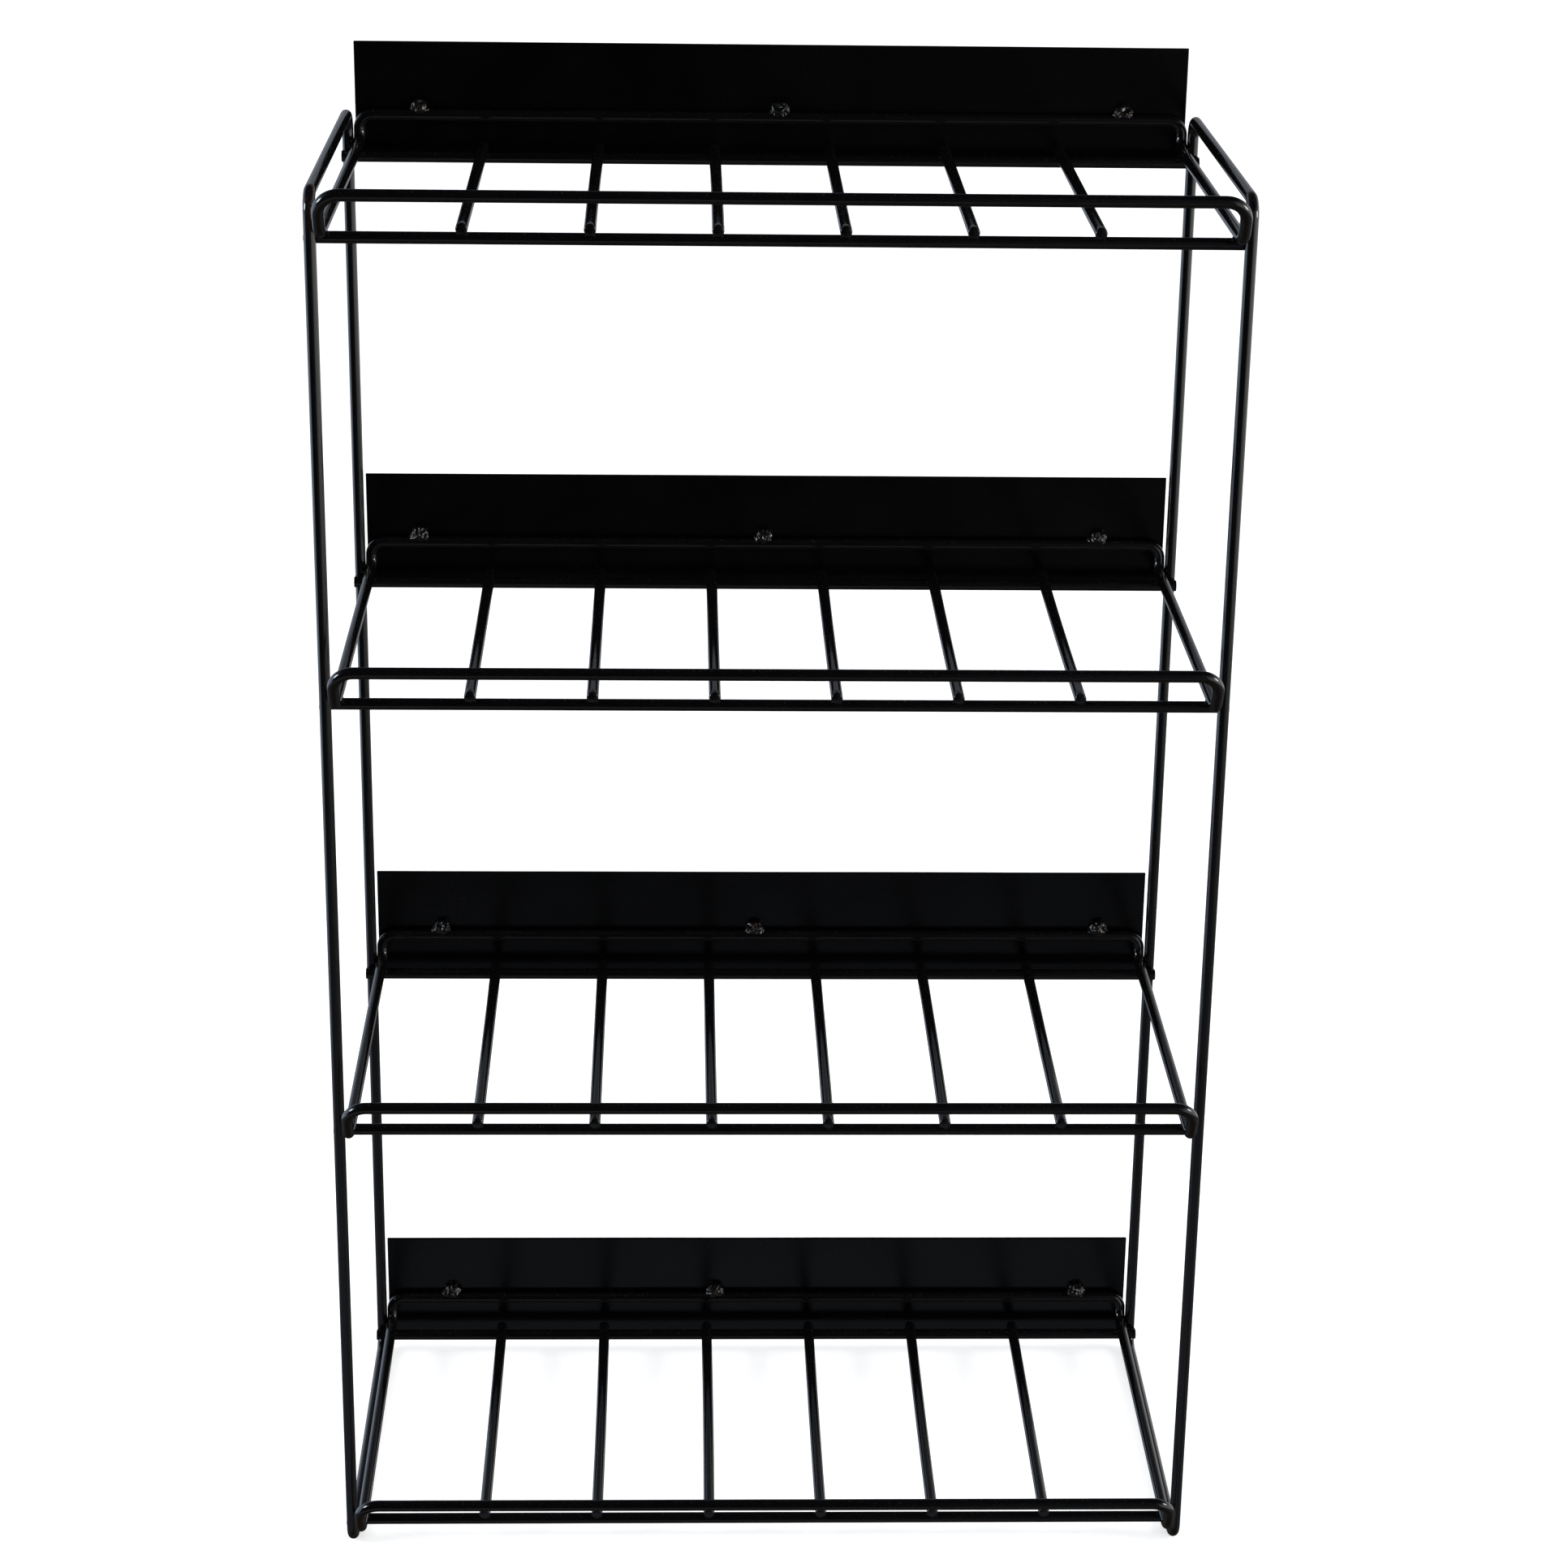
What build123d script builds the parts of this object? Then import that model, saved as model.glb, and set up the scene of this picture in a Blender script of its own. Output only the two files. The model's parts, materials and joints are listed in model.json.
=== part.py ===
"""Four-shelf spice rack: two wire side frames, four wire trays and four sheet back plates.

Millimetres. +X is to the right seen from the front, +Y is towards the back, +Z is up.
The origin is on the surface that the rack stands on, at the centre of its footprint.
Everything is welded, so nothing moves.
"""

import os

from build123d import *

# Stock
WIRE_D = 4.0  # every wire
PLATE_T = 1.0  # sheet of the back plates

# Side frames, between wire axes
FRAME_SPACING = 300.0  # left frame to right frame
FRAME_DEPTH = 143.0  # front upright to rear upright
FRAME_HEIGHT = 493.5  # bottom rung to top rung
FRAME_BEND_R = 6.0  # centreline radius of the four bends

# Shelves, between wire axes
SHELF_NAMES = ("bottom", "lower", "upper", "top")
FIRST_RAIL_RISE = 6.3  # bottom rung up to the lowest cross rails
SHELF_PITCH = 157.5
CROSS_WIRES = 6
CROSS_WIRE_PITCH = 40.8
CROSS_WIRE_REAR_END = 1.0  # how far the cut ends run past the rear rail's axis

# Tray loop, measured from the axis of the front or rear cross rail
GALLERY_RISE = 17.4  # front rail of the loop above the front cross rail
GALLERY_REACH = 19.4  # and in front of it
FRONT_KNEE_REACH = 13.0  # where the side arms turn up, in front of the front cross rail
GALLERY_CORNER_R = 7.0
FRONT_KNEE_R = 5.0
REAR_RAIL_RISE = 13.8  # rear rail of the loop above the rear cross rail
REAR_RAIL_SETBACK = 5.6  # and behind it
REAR_BEND_R = 4.8

# Back plates
PLATE_WIDTH = 295.0
PLATE_TOP_RISE = 39.2  # top edge above the rear cross rail's axis
PLATE_FOOT_DROP = 2.5  # bottom edge below it

# Weld metal
PLATE_WELD_R = 2.4
PLATE_WELD_RISE = 2.4  # blob centre above the rear rail's axis
PLATE_WELD_INSET = 1.5  # blob centre in front of the plate
FRAME_WELD_R = 2.0
FRAME_WELD_T = 1.6
FRAME_WELD_PROUD = 0.3  # how far a bead stands out beyond the side frame
FRAME_WELD_ROUNDING = 0.6
# Placed by hand on each shelf, so no two shelves match
PLATE_WELD_X = {
    "bottom": (-122.0, -17.0, 128.0),
    "lower": (-123.0, -3.0, 130.0),
    "upper": (-128.0, -1.0, 123.0),
    "top": (-125.0, 3.0, 125.0),
}

# Worked out from the sizes above
WIRE_R = WIRE_D / 2
SIDE_X = FRAME_SPACING / 2
ARM_X = SIDE_X - WIRE_D  # the trays fit between the side frames and touch them
OVERALL_DEPTH = (
    GALLERY_REACH - WIRE_D + WIRE_R  # gallery ahead of the front uprights
    + FRAME_DEPTH - WIRE_D + REAR_RAIL_SETBACK + WIRE_R + PLATE_T  # back of the plates
)
FRONT_UPRIGHT_Y = GALLERY_REACH - WIRE_D + WIRE_R - OVERALL_DEPTH / 2
REAR_UPRIGHT_Y = FRONT_UPRIGHT_Y + FRAME_DEPTH
FRONT_RAIL_Y = FRONT_UPRIGHT_Y + WIRE_D  # cross rails lie inside the uprights, touching them
REAR_RAIL_Y = REAR_UPRIGHT_Y - WIRE_D
PLATE_FACE_Y = REAR_RAIL_Y + REAR_RAIL_SETBACK + WIRE_R
BOTTOM_RUNG_Z = WIRE_R
TOP_RUNG_Z = BOTTOM_RUNG_Z + FRAME_HEIGHT


def rail_height(shelf):
    """Axis height of a shelf's two cross rails."""
    return BOTTOM_RUNG_Z + FIRST_RAIL_RISE + SHELF_NAMES.index(shelf) * SHELF_PITCH


def bent_wire(corners, radii):
    """A closed loop of round wire through the corners, bent to the given centreline radii."""
    route = FilletPolyline(*corners, radius=radii, close=True)
    section = Plane(origin=route @ 0, z_dir=route % 0) * Circle(WIRE_R)
    return sweep(section, path=route)


def straight_wire(start, end):
    """A straight round wire between two axis points, cut square at both ends."""
    start, end = Vector(*start), Vector(*end)
    run = end - start
    return Plane(origin=start, z_dir=run) * Cylinder(
        WIRE_R, run.length, align=(Align.CENTER, Align.CENTER, Align.MIN)
    )


def side_frame(x):
    """One side frame: uprights, top rung and bottom rung bent from a single wire."""
    corners = [
        (x, FRONT_UPRIGHT_Y, BOTTOM_RUNG_Z),
        (x, REAR_UPRIGHT_Y, BOTTOM_RUNG_Z),
        (x, REAR_UPRIGHT_Y, TOP_RUNG_Z),
        (x, FRONT_UPRIGHT_Y, TOP_RUNG_Z),
    ]
    return bent_wire(corners, [FRAME_BEND_R] * len(corners))


def tray_loop(shelf):
    """Gallery rail, side arms and rear rail of one shelf, bent from a single wire.

    The arms lie on the two cross rails. In front they turn up and lean forward to the
    gallery rail, and behind they turn straight up to the rear rail.
    """
    rail_z = rail_height(shelf)
    gallery = (FRONT_RAIL_Y - GALLERY_REACH, rail_z + GALLERY_RISE)
    front_knee = (FRONT_RAIL_Y - FRONT_KNEE_REACH, rail_z + WIRE_D)
    rear_knee = (REAR_RAIL_Y + REAR_RAIL_SETBACK, rail_z + WIRE_D)
    rear_rail = (REAR_RAIL_Y + REAR_RAIL_SETBACK, rail_z + REAR_RAIL_RISE)
    profile = [gallery, front_knee, rear_knee, rear_rail]
    bends = [GALLERY_CORNER_R, FRONT_KNEE_R, REAR_BEND_R, REAR_BEND_R]
    right = [(ARM_X, y, z) for y, z in profile]
    left = [(-ARM_X, y, z) for y, z in reversed(profile)]
    return bent_wire(right + left, bends + bends[::-1])


def cross_rail(shelf, y):
    """A straight rail across both side frames, its ends flush with their outer sides."""
    end_x = SIDE_X + WIRE_R
    z = rail_height(shelf)
    return straight_wire((-end_x, y, z), (end_x, y, z))


def cross_wire(shelf, number):
    """One of the wires that the jars stand on; number 1 is at the left."""
    x = (number - (CROSS_WIRES + 1) / 2) * CROSS_WIRE_PITCH
    z = rail_height(shelf) + WIRE_D
    return straight_wire((x, FRONT_RAIL_Y - WIRE_R, z), (x, REAR_RAIL_Y + CROSS_WIRE_REAR_END, z))


def back_plate(shelf):
    """Flat strip behind the tray's rear rail."""
    foot_z = rail_height(shelf) - PLATE_FOOT_DROP
    height = PLATE_TOP_RISE + PLATE_FOOT_DROP
    corner = (Align.CENTER, Align.MIN, Align.MIN)
    return Pos(0, PLATE_FACE_Y, foot_z) * Box(PLATE_WIDTH, PLATE_T, height, align=corner)


def plate_welds(shelf, tray, plate):
    """Blobs of weld metal in the groove between the tray's rear rail and the plate."""
    y = PLATE_FACE_Y - PLATE_WELD_INSET
    z = rail_height(shelf) + REAR_RAIL_RISE + PLATE_WELD_RISE
    blobs = [Pos(x, y, z) * Sphere(PLATE_WELD_R) for x in PLATE_WELD_X[shelf]]
    return Compound([(blob - plate - tray).solid() for blob in blobs])


def frame_welds(shelf, rails, frames):
    """Flattened beads across the outer sides of the uprights and the ends of the cross rails."""
    blank = Rot(0, 90, 0) * Cylinder(FRAME_WELD_R, FRAME_WELD_T)
    button = fillet(blank.edges().filter_by(GeomType.CIRCLE), FRAME_WELD_ROUNDING)
    x = SIDE_X + WIRE_R + FRAME_WELD_PROUD - FRAME_WELD_T / 2
    joints_y = ((FRONT_UPRIGHT_Y + FRONT_RAIL_Y) / 2, (REAR_UPRIGHT_Y + REAR_RAIL_Y) / 2)
    beads = []
    for side, frame in zip((-1, 1), frames):
        for rail, y in zip(rails, joints_y):
            bead = Pos(side * x, y, rail_height(shelf)) * button
            beads.append((bead - frame - rail).solid())
    return Compound(beads)


def build_shelf(shelf, frames):
    """All the pieces of one shelf, by node name."""
    tray = tray_loop(shelf)
    plate = back_plate(shelf)
    front_rail = cross_rail(shelf, FRONT_RAIL_Y)
    rear_rail = cross_rail(shelf, REAR_RAIL_Y)
    pieces = {
        "tray_loop": tray,
        "front_cross_rail": front_rail,
        "rear_cross_rail": rear_rail,
        "back_plate": plate,
        "plate_welds": plate_welds(shelf, tray, plate),
        "frame_welds": frame_welds(shelf, (front_rail, rear_rail), frames),
    }
    for number in range(1, CROSS_WIRES + 1):
        pieces[f"cross_wire_{number}"] = cross_wire(shelf, number)
    return {f"{shelf}_shelf_{name}": piece for name, piece in pieces.items()}


def build_rack():
    """Every piece of the rack, by node name."""
    frames = (side_frame(-SIDE_X), side_frame(SIDE_X))
    rack = dict(zip(("left_side_frame", "right_side_frame"), frames))
    for shelf in SHELF_NAMES:
        rack.update(build_shelf(shelf, frames))
    return rack


os.makedirs("parts", exist_ok=True)
for node, piece in build_rack().items():
    export_step(piece, f"parts/{node}.step")
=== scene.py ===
"""Looks of the welded wire spice rack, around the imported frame.

The side frames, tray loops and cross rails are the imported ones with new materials. The back
plates, cross wires and welds are finer meshes that stand for theirs. Metres throughout.
"""

import json
import math
import random

import bmesh
import bpy
from mathutils import Matrix, Vector
from mathutils import noise as field

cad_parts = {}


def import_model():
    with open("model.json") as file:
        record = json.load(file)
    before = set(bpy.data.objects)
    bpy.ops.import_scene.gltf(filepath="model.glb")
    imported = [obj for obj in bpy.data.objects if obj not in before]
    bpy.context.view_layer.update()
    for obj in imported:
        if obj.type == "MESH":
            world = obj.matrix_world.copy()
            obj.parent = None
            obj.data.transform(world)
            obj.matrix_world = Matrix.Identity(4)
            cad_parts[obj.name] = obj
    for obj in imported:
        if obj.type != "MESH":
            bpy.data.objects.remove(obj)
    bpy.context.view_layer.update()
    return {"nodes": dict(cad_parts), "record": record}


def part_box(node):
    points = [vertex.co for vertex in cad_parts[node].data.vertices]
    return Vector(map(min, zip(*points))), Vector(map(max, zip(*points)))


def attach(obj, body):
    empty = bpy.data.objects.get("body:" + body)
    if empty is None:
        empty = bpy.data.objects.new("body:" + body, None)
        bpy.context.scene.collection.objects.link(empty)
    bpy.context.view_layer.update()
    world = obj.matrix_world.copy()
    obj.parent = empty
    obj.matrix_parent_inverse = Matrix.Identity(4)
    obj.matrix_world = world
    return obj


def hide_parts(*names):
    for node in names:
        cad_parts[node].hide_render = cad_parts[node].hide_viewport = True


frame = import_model()
scene = bpy.context.scene

SHELVES = ("bottom", "lower", "upper", "top")
CROSS_WIRES = 6
FIRST_SEED = 71  # of the bottom shelf; each shelf above it takes the next one
WIRE_R = 0.002
SHEET_EDGE_R = 0.0003  # softened edges of the back plates
SHEET_WAVE = 0.00012  # how far a back plate strays from flat
CUT_LIP_R = 0.0006  # rounded lips on the cut ends of the cross wires
CUT_WIRE_REACH = 0.0014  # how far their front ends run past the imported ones
CUT_WIRE_SINK = 0.0004  # how far they are pressed into the rails
NOTCH_OVERLAP = 0.00012  # how deep the notch welds reach into the wires
X, Y, Z = Vector((1, 0, 0)), Vector((0, 1, 0)), Vector((0, 0, 1))


# Shader helpers


def new_material(name):
    """An empty node material, its tree and its Principled shader."""
    material = bpy.data.materials.new(name)
    material.use_nodes = True
    tree = material.node_tree
    return material, tree, tree.nodes["Principled BSDF"]


def plug(tree, socket, value):
    """Links value into the socket, or sets it there when it's a plain number or colour."""
    if isinstance(value, bpy.types.NodeSocket):
        tree.links.new(value, socket)
    else:
        socket.default_value = value


def node(tree, kind, inputs=(), **settings):
    """Adds a node, sets its properties, and fills the inputs given as (socket, value) pairs."""
    made = tree.nodes.new(kind)
    for key, value in settings.items():
        setattr(made, key, value)
    for socket, value in inputs:
        plug(tree, made.inputs[socket], value)
    return made


def cloud(tree, place, scale, detail=3.0, roughness=0.55):
    """Soft noise from 0 to 1."""
    return node(
        tree, "ShaderNodeTexNoise",
        [("Vector", place), ("Scale", scale), ("Detail", detail), ("Roughness", roughness)],
    ).outputs["Fac"]


def stretched(tree, place, factors):
    """The place scaled unequally, for marks that run one way."""
    return node(
        tree, "ShaderNodeVectorMath", [(0, place), (1, factors)], operation="MULTIPLY"
    ).outputs[0]


def ramp(tree, value, low, high, out_low=0.0, out_high=1.0):
    """Maps value from low..high to out_low..out_high, smoothly and clamped."""
    return node(
        tree, "ShaderNodeMapRange",
        [("Value", value), ("From Min", low), ("From Max", high),
         ("To Min", out_low), ("To Max", out_high)],
        interpolation_type="SMOOTHSTEP",
    ).outputs["Result"]


def maths(tree, operation, a, b, c=0.0):
    """A Math node; c is used only by MULTIPLY_ADD."""
    return node(tree, "ShaderNodeMath", [(0, a), (1, b), (2, c)], operation=operation).outputs[0]


def blend_colour(tree, share, a, b):
    """Colour a where share is 0, and b where it is 1."""
    made = node(tree, "ShaderNodeMix", data_type="RGBA")
    for socket, value in ((0, share), (6, a), (7, b)):
        plug(tree, made.inputs[socket], value)
    return made.outputs[2]


# Materials


def upward(tree):
    """0 on sides and undersides, 1 on surfaces that face up."""
    normal = node(tree, "ShaderNodeNewGeometry").outputs["Normal"]
    height = node(tree, "ShaderNodeSeparateXYZ", [("Vector", normal)]).outputs["Z"]
    return ramp(tree, height, 0.1, 0.9)


def worn_corners(tree, place):
    """1 around the top front corners of the side frames, where hands and cartons rub."""
    low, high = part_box("right_side_frame")
    target = (0.150, low.y + 2 * WIRE_R, high.z - 2 * WIRE_R)
    mirrored = node(tree, "ShaderNodeVectorMath", [(0, place)], operation="ABSOLUTE").outputs[0]
    parts = node(tree, "ShaderNodeSeparateXYZ", [("Vector", mirrored)]).outputs
    signed = node(tree, "ShaderNodeSeparateXYZ", [("Vector", place)]).outputs["Y"]
    folded = node(
        tree, "ShaderNodeCombineXYZ", [("X", parts["X"]), ("Y", signed), ("Z", parts["Z"])]
    )
    gap = node(
        tree, "ShaderNodeVectorMath", [(0, folded.outputs[0]), (1, target)], operation="DISTANCE"
    )
    return ramp(tree, gap.outputs["Value"], 0.003, 0.016, 1.0, 0.0)


def enamel(name, base, gloss, spread, peel, specular, wear=0.0, scratches=0.0):
    """Black stoved enamel: orange peel, cloudy gloss, settled dust, and brown where worn thin.

    base is its grey level, gloss its roughness, spread how far that varies, peel its bump.
    """
    material, tree, shader = new_material(name)
    place = node(tree, "ShaderNodeTexCoord").outputs["Object"]
    broad = cloud(tree, place, 38.0)
    patchy = cloud(tree, place, 210.0, 4.0, 0.6)
    cool = [v * base * 0.75 for v in (0.9, 0.95, 1.2)] + [1]
    warm = [v * base * 1.35 for v in (1.08, 1.0, 0.95)] + [1]
    colour = blend_colour(tree, broad, cool, warm)

    dust = ramp(tree, cloud(tree, place, 1900.0, 1.0), 0.66, 0.74)
    settled = maths(tree, "MULTIPLY_ADD", upward(tree), 0.5, 0.12)
    dusty = maths(tree, "MULTIPLY", dust, settled)
    colour = blend_colour(tree, dusty, colour, (0.030, 0.028, 0.026, 1))

    rubbed = maths(tree, "MULTIPLY", ramp(tree, patchy, 0.42, 0.66), wear)
    if wear:
        broken = ramp(tree, patchy, 0.35, 0.6, 0.0, 0.5)
        rubbed = maths(tree, "MULTIPLY_ADD", worn_corners(tree, place), broken, rubbed)
    colour = blend_colour(tree, rubbed, colour, (0.014, 0.0085, 0.0058, 1))
    tree.links.new(colour, shader.inputs["Base Color"])

    roughness = ramp(tree, broad, 0.3, 0.7, gloss - spread, gloss + spread)
    roughness = maths(tree, "MULTIPLY_ADD", patchy, spread * 0.6, roughness)
    roughness = maths(tree, "MULTIPLY_ADD", dusty, 0.35, roughness)
    if scratches:
        lines = cloud(tree, stretched(tree, place, (22.0, 60.0, 2600.0)), 1.0, 2.0)
        drawn = ramp(tree, lines, 0.60, 0.72)
        roughness = maths(tree, "MULTIPLY_ADD", drawn, scratches, roughness)
    tree.links.new(roughness, shader.inputs["Roughness"])

    skin = cloud(tree, place, 620.0, 2.0)
    grain = cloud(tree, place, 2600.0, 1.0)
    height = maths(tree, "MULTIPLY_ADD", grain, 0.25, skin)
    height = maths(tree, "MULTIPLY_ADD", dusty, 0.6, height)
    bump = node(
        tree, "ShaderNodeBump", [("Height", height), ("Strength", peel), ("Distance", 0.0002)]
    )
    tree.links.new(bump.outputs["Normal"], shader.inputs["Normal"])
    shader.inputs["Specular IOR Level"].default_value = specular
    return material


def weld_metal(name):
    """Enamel over weld metal: rippled, pitted, and scorched brown where the coat is thin."""
    material, tree, shader = new_material(name)
    place = node(tree, "ShaderNodeTexCoord").outputs["Object"]
    ripples = cloud(tree, place, 900.0, 4.0, 0.6)
    scorch = ramp(tree, cloud(tree, place, 330.0, 3.0), 0.50, 0.68)
    colour = blend_colour(tree, ripples, (0.0012, 0.0012, 0.0014, 1), (0.0030, 0.0026, 0.0024, 1))
    colour = blend_colour(tree, scorch, colour, (0.012, 0.0060, 0.0030, 1))
    tree.links.new(colour, shader.inputs["Base Color"])
    tree.links.new(ramp(tree, ripples, 0.3, 0.7, 0.06, 0.2), shader.inputs["Roughness"])
    cells = node(tree, "ShaderNodeTexVoronoi", [("Vector", place), ("Scale", 1500.0)])
    pits = ramp(tree, cells.outputs["Distance"], 0.0, 0.35)
    height = maths(tree, "MULTIPLY_ADD", pits, 0.5, ripples)
    bump = node(
        tree, "ShaderNodeBump", [("Height", height), ("Strength", 0.45), ("Distance", 0.0003)]
    )
    tree.links.new(bump.outputs["Normal"], shader.inputs["Normal"])
    shader.inputs["Specular IOR Level"].default_value = 0.5
    return material


MATERIALS = {
    "wire_enamel": enamel("wire_enamel", 0.0019, 0.09, 0.03, 0.08, 0.5, wear=0.03),
    "plate_enamel": enamel("plate_enamel", 0.0004, 0.20, 0.03, 0.04, 0.42, scratches=0.02),
    "weld_enamel": weld_metal("weld_enamel"),
}

for subpart in frame["record"]["subparts"]:
    piece = frame["nodes"][subpart["node"]]
    piece.data.materials.clear()
    piece.data.materials.append(MATERIALS[subpart["material_slot"]])


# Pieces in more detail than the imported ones


def add_piece(name, points, faces, slot, replaced=()):
    """Makes one mesh of the rack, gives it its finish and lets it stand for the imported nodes."""
    mesh = bpy.data.meshes.new(name)
    mesh.from_pydata(points, [], faces)
    shape = bmesh.new()
    shape.from_mesh(mesh)
    bmesh.ops.recalc_face_normals(shape, faces=shape.faces)
    shape.to_mesh(mesh)
    shape.free()
    mesh.shade_smooth()
    mesh.materials.append(MATERIALS[slot])
    piece = bpy.data.objects.new(name, mesh)
    scene.collection.objects.link(piece)
    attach(piece, "root")
    if replaced:
        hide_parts(*replaced)


def gather(parts):
    """Joins (points, faces) parts into one list of points and one of faces."""
    points, faces = [], []
    for part_points, part_faces in parts:
        start = len(points)
        points += part_points
        faces += [[start + i for i in face] for face in part_faces]
    return points, faces


def skin_between(rings, count):
    """Quads that join each ring of count points to the next ring."""
    return [
        [ring * count + i, ring * count + (i + 1) % count,
         (ring + 1) * count + (i + 1) % count, (ring + 1) * count + i]
        for ring in range(rings - 1) for i in range(count)
    ]


def capped(points, count):
    """Closes a stack of rings of count points into a solid with a fan on each end."""
    rings = len(points) // count
    last = (rings - 1) * count
    ends = [sum(points[start:start + count], Vector()) / count for start in (0, last)]
    faces = skin_between(rings, count)
    faces += [[(i + 1) % count, i, len(points)] for i in range(count)]
    faces += [[last + i, last + (i + 1) % count, len(points) + 1] for i in range(count)]
    return points + ends, faces


def notch_fill(contact, along_upper, along_lower, reach, rng, count=20, rings=6):
    """Metal that has run into the notch between two wires that cross at right angles.

    Its rims lie just inside the two wires, and its waist draws in like a meniscus.
    """
    up = along_upper.cross(along_lower)
    reaches = [reach * (1 + 0.22 * rng.uniform(-1, 1)) for _ in range(5)]
    points = []
    for ring in range(rings):
        drop = ring / (rings - 1)
        for i in range(count):
            turn = math.tau * i / count
            waves = sum(r * math.cos(k * turn + k) for k, r in enumerate(reaches))
            swell = waves / sum(reaches)
            radius = min(reach * (1 + 0.18 * swell), 0.97 * WIRE_R)
            across_upper, across_lower = radius * math.sin(turn), radius * math.cos(turn)
            top = WIRE_R - math.sqrt(WIRE_R**2 - across_upper**2) + NOTCH_OVERLAP
            foot = math.sqrt(WIRE_R**2 - across_lower**2) - WIRE_R - NOTCH_OVERLAP
            waist = 1 - 0.3 * math.sin(math.pi * drop)
            side = waist * (math.cos(turn) * along_upper + math.sin(turn) * along_lower)
            points.append(contact + radius * side + (top + drop * (foot - top)) * up)
    return capped(points, count)


def weld_lump(centre, size, seed, roughness=0.16, crater=0.0, facing=Z, subdivisions=5):
    """A frozen drop of weld metal: an uneven ball with folds and the arc's crater."""
    ball = bmesh.new()
    bmesh.ops.create_icosphere(ball, subdivisions=subdivisions, radius=1)
    shift = Vector((seed * 3.1, seed * 1.7, seed * 0.9))
    facing = facing.normalized()
    points = []
    for vert in ball.verts:
        out = vert.co.normalized()
        lumps = field.fractal(out * 1.5 + shift, 0.7, 2.2, 4)
        folds = 1 - 2 * abs(field.noise(out * 2.4 - shift))
        spread = math.acos(max(-1.0, min(1.0, out.dot(facing))))
        bowl = crater * math.exp(-((spread / 0.42) ** 2))
        rim = 0.3 * crater * math.exp(-(((spread - 0.75) / 0.25) ** 2))
        length = 1 + roughness * (lumps + 0.5 * folds) - (bowl - rim)
        points.append(centre + Vector([a * b * length for a, b in zip(out, size)]))
    faces = [[v.index for v in face.verts] for face in ball.faces]
    ball.free()
    return points, faces


def boxes_of(node_name):
    """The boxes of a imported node's separate solids, as (low, high) corners, from left to right."""
    solid = bmesh.new()
    solid.from_mesh(frame["nodes"][node_name].data)
    bmesh.ops.remove_doubles(solid, verts=solid.verts, dist=1e-6)
    left = set(solid.verts)
    found = []
    while left:
        reached, edge = set(), [left.pop()]
        while edge:
            vert = edge.pop()
            reached.add(vert)
            for link in vert.link_edges:
                other = link.other_vert(vert)
                if other in left:
                    left.remove(other)
                    edge.append(other)
        low = Vector([min(v.co[k] for v in reached) for k in range(3)])
        high = Vector([max(v.co[k] for v in reached) for k in range(3)])
        found.append((low, high))
    solid.free()
    return sorted(found, key=lambda box: (box[0].x, box[0].y))


def cut_wire(low, high, rng, count=32):
    """A wire sheared to length and enamelled, with rounded lips and a trace of a bow.

    It is pressed into the rails and reaches a little past the front one.
    """
    radius, lip = (high.x - low.x) / 2, CUT_LIP_R
    front, back = low.y - CUT_WIRE_REACH, high.y
    axis = Vector(((low.x + high.x) / 2, 0, (low.z + high.z) / 2 - CUT_WIRE_SINK))
    bow = Vector((rng.uniform(-0.0002, 0.0002), 0, rng.uniform(-0.0001, 0.0001)))
    turns = [math.radians(a) for a in (0, 22, 45, 67, 90)]
    end = [(lip * (1 - math.cos(a)), radius - lip * (1 - math.sin(a))) for a in turns]
    shank = [(front + lip + (back - front - 2 * lip) * k / 40, radius) for k in range(1, 40)]
    profile = [(front + y, r) for y, r in end] + shank
    profile += [(back - y, r) for y, r in reversed(end)]
    points = []
    for y, size in profile:
        thickness = size * (1 + 0.012 * field.noise(Vector((y * 60, low.x * 40, low.z * 9))))
        centre = axis + y * Y + math.sin(math.pi * (y - front) / (back - front)) * bow
        for i in range(count):
            turn = math.tau * i / count
            points.append(centre + thickness * (math.cos(turn) * X - math.sin(turn) * Z))
    return capped(points, count)


def cross_wires(shelf, rng):
    """The wires that the jars stand on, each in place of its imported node."""
    for number in range(1, CROSS_WIRES + 1):
        node_name = f"{shelf}_shelf_cross_wire_{number}"
        points, faces = cut_wire(*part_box(node_name), rng)
        add_piece(f"{shelf}_shelf_cut_wire_{number}", points, faces, "wire_enamel", [node_name])


def plate_welds(shelf, rng):
    """Lumps in the groove between the tray's rear rail and the plate."""
    parts = []
    for low, high in boxes_of(f"{shelf}_shelf_plate_welds"):
        middle = (low + high) / 2
        seed = rng.uniform(1, 9)
        size = [rng.uniform(*span) for span in
                ((0.0027, 0.0032), (0.0022, 0.0025), (0.0026, 0.0030))]
        facing = Vector((rng.uniform(-0.4, 0.4), -0.75, 0.65))
        parts.append(weld_lump(middle, size, seed, 0.2, rng.uniform(0.12, 0.3), facing))
        beside = Vector((rng.choice((-1, 1)) * rng.uniform(0.0017, 0.0023), 0.0002, -0.0012))
        small = (0.0019, 0.0017, 0.0016)
        parts.append(weld_lump(middle + beside, small, seed + 2, 0.2, subdivisions=4))
    node_name = f"{shelf}_shelf_plate_welds"
    add_piece(f"{shelf}_shelf_plate_lumps", *gather(parts), "weld_enamel", [node_name])


def frame_welds(shelf, rng):
    """Thin beads where the cross rails' ends meet the uprights."""
    node_name = f"{shelf}_shelf_frame_welds"
    parts = []
    for low, high in boxes_of(node_name):
        middle = (low + high) / 2
        middle.x -= math.copysign(0.0003, middle.x)
        size = (0.0010, rng.uniform(0.0018, 0.0022), rng.uniform(0.0017, 0.0021))
        parts.append(weld_lump(middle, size, rng.uniform(1, 9), 0.18, subdivisions=4))
    add_piece(f"{shelf}_shelf_frame_beads", *gather(parts), "weld_enamel", [node_name])


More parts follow.
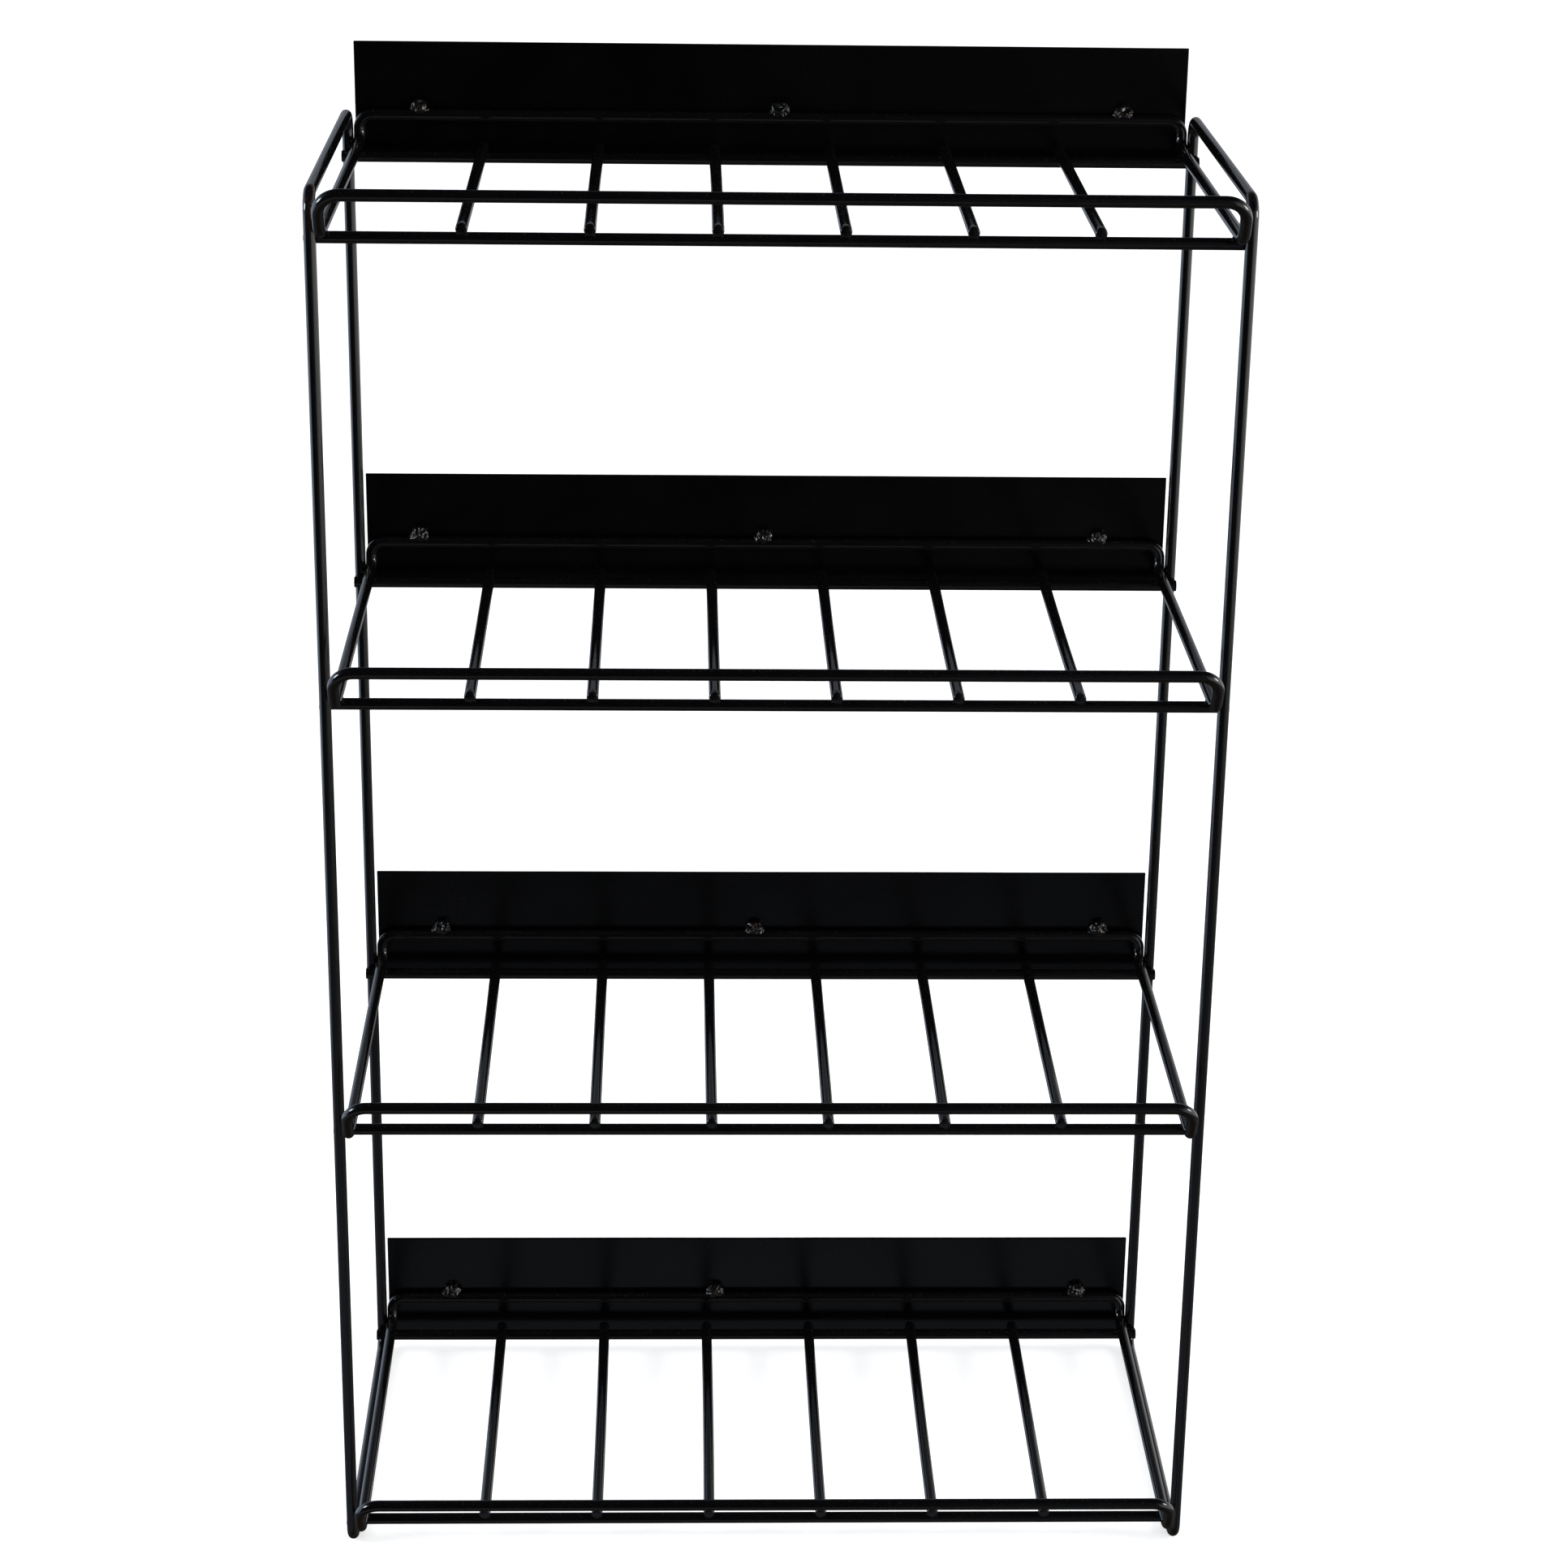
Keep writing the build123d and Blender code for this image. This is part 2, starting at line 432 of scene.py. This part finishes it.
def crossing_welds(shelf, rng):
    """The small fused notches where two wires of a shelf, or a shelf and a frame, touch."""
    def middle(name):
        low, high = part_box(name)
        return (low + high) / 2

    rails = [middle(f"{shelf}_shelf_{end}_cross_rail") for end in ("front", "rear")]
    frame_low, frame_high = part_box("right_side_frame")
    uprights = [frame_low.y + WIRE_R, frame_high.y - WIRE_R]
    side_x = middle("right_side_frame").x
    arm_x = side_x - 2 * WIRE_R
    over = [
        middle(f"{shelf}_shelf_cross_wire_{number}").x for number in range(1, CROSS_WIRES + 1)
    ] + [-arm_x, arm_x]
    parts = []
    for rail, upright_y in zip(rails, uprights):
        for x in over:
            contact = Vector((x, rail.y, rail.z + WIRE_R))
            parts.append(notch_fill(contact, X, Y, rng.uniform(0.0014, 0.0018), rng))
        for x in (-side_x, side_x):
            contact = Vector((x, (rail.y + upright_y) / 2, rail.z))
            parts.append(notch_fill(contact, Z, X, rng.uniform(0.0015, 0.0018), rng))
    for side in (-1, 1):
        contact = Vector((side * (side_x - WIRE_R), uprights[0], rails[0].z + 2 * WIRE_R))
        parts.append(notch_fill(contact, Y, Z, rng.uniform(0.0014, 0.0017), rng))
    add_piece(f"{shelf}_shelf_crossing_welds", *gather(parts), "weld_enamel")


def round_end(y_first, y_second, z, radius, start):
    """The points that turn a strip's section round its narrow end, with rounded corners."""
    turns = [start - math.pi / 8 * k for k in range(1, 8)]
    first = [(y_first + radius * math.cos(a), z + radius * math.sin(a)) for a in turns[:4]]
    second = [(y_second + radius * math.cos(a), z + radius * math.sin(a)) for a in turns[3:]]
    return first + second


def strip_section(x, low, high, inset, shift):
    """A closed section of a back plate at x, drawn in by inset, and its count of rows."""
    radius = SHEET_EDGE_R - 0.97 * inset
    front, back = low.y + inset + radius, high.y - inset - radius
    foot, top = low.z + inset + radius, high.z - inset - radius
    rows, lead = 12, 0.0003
    inner = [foot + lead + (top - foot - 2 * lead) * k / rows for k in range(rows + 1)]
    heights = [foot] + inner + [top]
    section = [(front - radius, z) for z in heights] + round_end(front, back, top, radius, math.pi)
    section += [(back + radius, z) for z in reversed(heights)]
    section += round_end(back, front, foot, radius, 0)
    return [Vector((x, y + shift(x, z), z)) for y, z in section], len(heights)


def back_plate(shelf, rng):
    """A sheet strip with softened edges that isn't quite flat."""
    node_name = f"{shelf}_shelf_back_plate"
    low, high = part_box(node_name)
    seed = rng.uniform(1, 50)

    def shift(x, z):
        broad = field.noise(Vector((x * 17, z * 30, seed)))
        return SHEET_WAVE * broad + 0.00002 * field.noise(Vector((x * 90, z * 90, seed + 4)))

    turns = [math.radians(a) for a in (6, 22, 38, 54, 72)]
    left = [
        (low.x + SHEET_EDGE_R * (1 - math.cos(a)), SHEET_EDGE_R * (1 - math.sin(a))) for a in turns
    ]
    start, run = low.x + SHEET_EDGE_R, high.x - low.x - 2 * SHEET_EDGE_R
    shares = [0, 0.001] + [k / 96 for k in range(1, 96)] + [0.999, 1]
    middle = [(start + run * share, 0.0) for share in shares]
    right = [(low.x + high.x - x, inset) for x, inset in reversed(left)]
    sections = [strip_section(x, low, high, inset, shift) for x, inset in left + middle + right]
    rows, count = sections[0][1], len(sections[0][0])
    points = [point for section, _ in sections for point in section]
    opposite = 2 * rows + 7
    cap = [[k, k + 1, opposite - k - 1, opposite - k] for k in range(rows - 1)]
    cap += [list(range(rows - 1, rows + 9)), list(range(opposite, count)) + [0]]
    last = len(points) - count
    far_cap = [[last + i for i in reversed(face)] for face in cap]
    faces = skin_between(len(sections), count) + cap + far_cap
    add_piece(f"{shelf}_shelf_back_sheet", points, faces, "plate_enamel", [node_name])


for number, shelf_name in enumerate(SHELVES):
    chance = random.Random(FIRST_SEED + number)
    back_plate(shelf_name, chance)
    cross_wires(shelf_name, chance)
    plate_welds(shelf_name, chance)
    frame_welds(shelf_name, chance)
    crossing_welds(shelf_name, chance)


# Studio


def floor():
    """A pale floor that the rack stands on."""
    bpy.ops.mesh.primitive_circle_add(vertices=96, radius=12, fill_type="NGON", location=(0, 0, 0))
    sheet = bpy.context.object
    sheet.name = "floor"
    material, tree, shader = new_material("floor_paper")
    place = node(tree, "ShaderNodeTexCoord").outputs["Object"]
    grain = cloud(tree, place, 180.0)
    pale = blend_colour(tree, grain, (0.80, 0.80, 0.80, 1), (0.84, 0.84, 0.84, 1))
    tree.links.new(pale, shader.inputs["Base Color"])
    shader.inputs["Roughness"].default_value = 0.85
    shader.inputs["Specular IOR Level"].default_value = 0.1
    shader.inputs["Emission Color"].default_value = (1, 1, 1, 1)
    shader.inputs["Emission Strength"].default_value = 0.58
    sheet.data.materials.append(material)
    sheet.visible_glossy = False


def lamp(name, kind, place, target, power, colour, **settings):
    """A lamp at place that points at target."""
    light = bpy.data.lights.new(name, kind)
    light.energy = power
    light.color = colour
    for key, value in settings.items():
        setattr(light, key, value)
    holder = bpy.data.objects.new(name, light)
    holder.location = place
    holder.rotation_euler = (Vector(target) - Vector(place)).to_track_quat("-Z", "Y").to_euler()
    scene.collection.objects.link(holder)
    return holder


def world():
    """What the gloss mirrors: bright low walls behind and beside, a dark room in front and above.

    The camera itself sees plain white.
    """
    sky = bpy.data.worlds.new("studio")
    sky.use_nodes = True
    tree = sky.node_tree
    tree.nodes.clear()
    direction = node(tree, "ShaderNodeTexCoord").outputs["Generated"]
    parts = node(tree, "ShaderNodeSeparateXYZ", [("Vector", direction)]).outputs
    aside = maths(tree, "MULTIPLY_ADD", parts["X"], 0.41, parts["Y"])
    leaning = maths(tree, "MULTIPLY_ADD", parts["X"], -0.06, parts["Z"])
    rising = ramp(tree, leaning, -0.43, -0.25, 0.2, 1.6)
    fading = ramp(tree, parts["Z"], 0.0, 0.75, 1.0, 0.04)
    walls = maths(tree, "MULTIPLY", rising, fading)
    behind = ramp(tree, maths(tree, "ABSOLUTE", parts["X"], 0.0), 0.25, 0.95, 0.22, 1.0)
    walls = maths(tree, "MULTIPLY", walls, behind)
    haze = ramp(tree, parts["X"], 0.03, 0.15, 0.003, 0.085)
    room = ramp(tree, parts["Z"], -0.54, -0.31, 0.225, haze)
    share = ramp(tree, aside, -0.69, -0.60)
    glow = node(
        tree, "ShaderNodeMix", [(0, share), (2, room), (3, walls)], data_type="FLOAT"
    ).outputs[0]
    rightward = ramp(tree, parts["X"], -0.7, 0.7)
    tint = blend_colour(tree, rightward, (0.83, 0.96, 1.20, 1), (1.0, 1.0, 1.01, 1))
    distant = ramp(tree, parts["Z"], -0.45, -0.3)
    dark = blend_colour(tree, distant, (0.86, 0.95, 1.12, 1), (0.95, 0.98, 1.08, 1))
    tint = blend_colour(tree, share, dark, tint)
    above_floor = ramp(tree, parts["Z"], -0.9, -0.62)
    tint = blend_colour(tree, above_floor, (1.25, 1.0, 0.72, 1), tint)
    overhead = ramp(tree, parts["Z"], 0.45, 0.8)
    tint = blend_colour(tree, overhead, tint, (0.75, 0.85, 1.5, 1))
    seen = node(tree, "ShaderNodeLightPath").outputs["Is Camera Ray"]
    shown = blend_colour(tree, seen, tint, (1, 1, 1, 1))
    strength = node(
        tree, "ShaderNodeMix", [(0, seen), (2, glow), (3, 1.0)], data_type="FLOAT"
    ).outputs[0]
    back = node(tree, "ShaderNodeBackground", [("Color", shown), ("Strength", strength)])
    out = node(tree, "ShaderNodeOutputWorld")
    tree.links.new(back.outputs[0], out.inputs[0])
    scene.world = sky


def camera():
    """Stands in front of the rack at eye height and looks slightly down at it."""
    position = Vector((-0.0335, -1.1997, 0.7254))
    pitch, turn, roll = math.radians(-20.69), math.radians(-1.845), math.radians(0.831)
    lens = bpy.data.cameras.new("camera")
    lens.sensor_width = 36.0
    lens.lens = 82.77
    holder = bpy.data.objects.new("camera", lens)
    level = Matrix.Rotation(turn, 4, "Z") @ Matrix.Rotation(math.pi / 2 + pitch, 4, "X")
    holder.matrix_world = Matrix.Translation(position) @ level @ Matrix.Rotation(roll, 4, "Z")
    scene.collection.objects.link(holder)
    scene.camera = holder


floor()
world()
for name, place, strength, spread in (
    ("sky", (0, 0.1, 3), 0.3, 100),
    ("left", (-2.0, 0.5, 1.5), 0.75, 60),
    ("right", (2.0, 0.3, 1.2), 0.65, 60),
    ("front", (0.3, -2.0, 1.2), 0.55, 60),
    ("back", (-0.2, 2.0, 1.3), 0.55, 60),
):
    sun = lamp(name, "SUN", place, (0, 0, 0), strength, (1, 1, 1), angle=math.radians(spread))
    sun.visible_glossy = False  # only the walls and the two glints show in the gloss
MIDDLE = (0, 0.05, 0.3)
lamp("left_glint", "AREA", (-1.5, -0.35, 0.70), MIDDLE, 13, (0.86, 0.95, 1.0), size=0.45)
lamp("right_glint", "AREA", (1.4, -0.3, 0.65), MIDDLE, 8, (1, 0.99, 0.96), size=0.4)
camera()
scene.view_settings.view_transform = "Standard"
